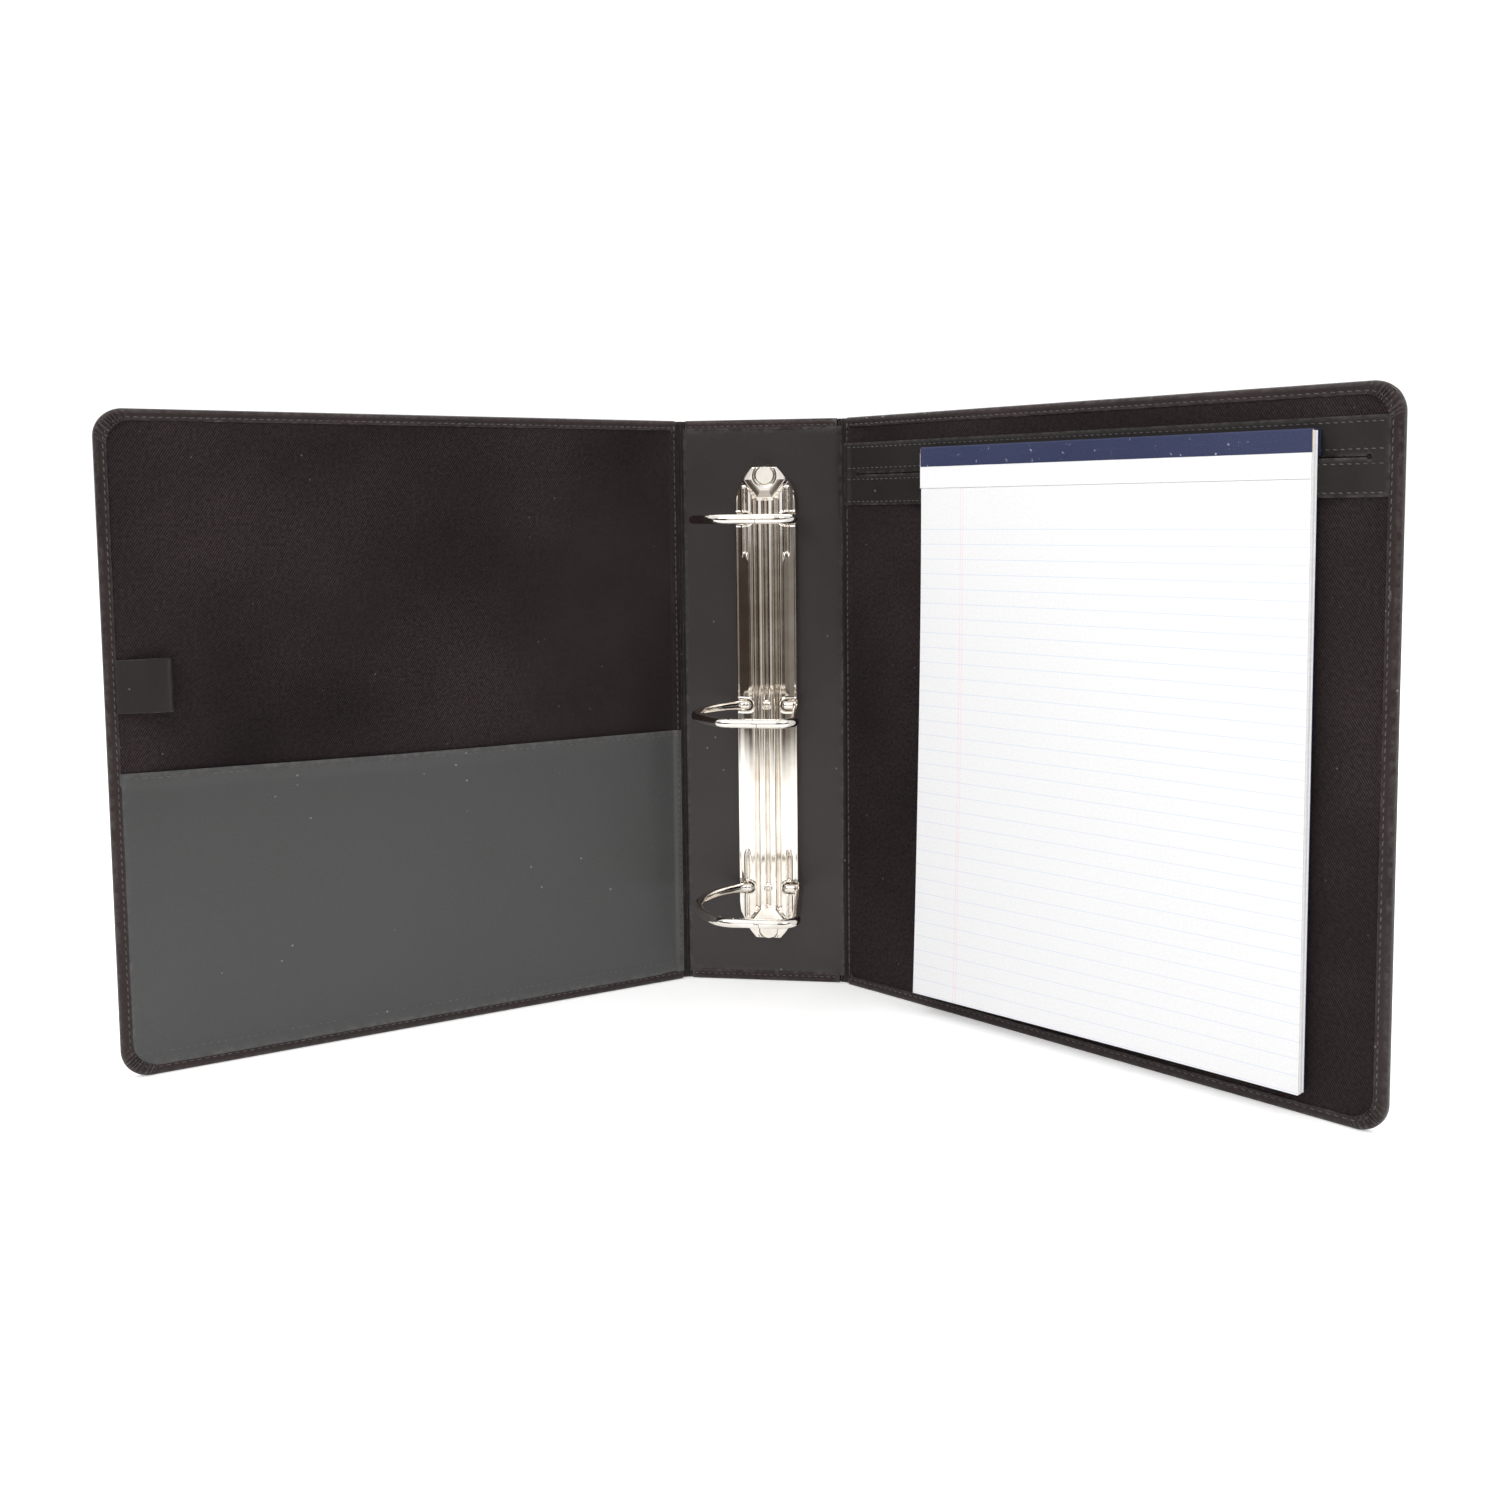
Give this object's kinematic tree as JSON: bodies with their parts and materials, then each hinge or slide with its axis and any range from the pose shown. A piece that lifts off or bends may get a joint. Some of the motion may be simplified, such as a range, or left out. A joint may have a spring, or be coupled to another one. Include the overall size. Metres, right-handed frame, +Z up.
{
  "type": "ring binder portfolio case",
  "caption": "Padded leather ring-binder portfolio case, open on its edges, with spine ring mechanism, document pocket, pen loop and a slotted band that holds a writing pad.",
  "frame": {"origin": "middle of the spine's bottom face, at half the spine's thickness", "axes": "+Z up along the spine, +X from the left cover to the right cover, the readers' side is -Y"},
  "size_m": [0.6024, 0.2036, 0.331],
  "materials": {
    "leather_black": "smooth semi-matte black bonded leather with stitched turned edges",
    "lining_twill": "fine black twill",
    "core_board": "grey binder's board",
    "padding_foam": "thin closed-cell padding",
    "nickel_plate": "bright nickel plating on pressed steel",
    "nickel_wire": "bright nickel plating on steel wire",
    "backing_card": "navy coated board",
    "pad_paper": "matte ruled writing paper",
    "binding_cloth": "navy paper-cloth binding tape"
  },
  "bodies": {
    "spine": {"spine_board": "core_board", "spine_foam": "padding_foam", "spine_leather": "leather_black", "spine_liner": "leather_black", "left_hinge_leather": "leather_black", "right_hinge_leather": "leather_black", "ring_plate": "nickel_plate", "ring_rivets": "nickel_plate"},
    "left_cover": {"left_cover_board": "core_board", "left_cover_foam": "padding_foam", "left_cover_leather": "leather_black", "left_cover_lining": "lining_twill", "document_pocket": "leather_black", "pen_loop": "leather_black"},
    "right_cover": {"right_cover_board": "core_board", "right_cover_foam": "padding_foam", "right_cover_leather": "leather_black", "right_cover_lining": "lining_twill", "pad_band": "leather_black"},
    "writing_pad": {"pad_backing_board": "backing_card", "pad_sheets": "pad_paper", "pad_binding_tape": "binding_cloth", "pad_header_strip": "pad_paper"},
    "top_sheet": {"pad_top_sheet": "pad_paper"},
    "left_rings": {"left_ring_carrier": "nickel_plate", "left_ring_top": "nickel_wire", "left_ring_middle": "nickel_wire", "left_ring_bottom": "nickel_wire"},
    "right_rings": {"right_ring_carrier": "nickel_plate", "right_ring_top": "nickel_wire", "right_ring_middle": "nickel_wire", "right_ring_bottom": "nickel_wire"}
  },
  "joints": [
    {"name": "left_cover_hinge", "type": "hinge", "parent": "spine", "child": "left_cover", "pos_m": [-0.0475, 0, 0.1655], "axis": [0, 0, -1], "range_deg": [-52, 48]},
    {"name": "right_cover_hinge", "type": "hinge", "parent": "spine", "child": "right_cover", "pos_m": [0.0475, 0, 0.1655], "axis": [0, 0, 1], "range_deg": [-53, 47]},
    {"name": "ring_open", "type": "hinge", "parent": "spine", "child": "left_rings", "pos_m": [-0.012, -0.0056, 0.166], "axis": [0, 0, -1], "range_deg": [0, 12]},
    {"name": "right_ring_open", "type": "hinge", "parent": "spine", "child": "right_rings", "pos_m": [0.0184, -0.0056, 0.166], "axis": [0, 0, 1], "range_deg": [0, 12]},
    {"name": "pad_slide", "type": "slide", "parent": "right_cover", "child": "writing_pad", "axis": [0, 0, 1], "range_m": [0, 0.29]},
    {"name": "top_sheet_flip", "type": "hinge", "parent": "writing_pad", "child": "top_sheet", "pos_m": [0.18046, -0.11525, 0.2869], "axis": [-0.7986, 0.6018, 0], "range_deg": [0, 165]}
  ],
  "couplings": [
    {"joint": "right_ring_open", "follows": "ring_open", "ratio": 1}
  ]
}
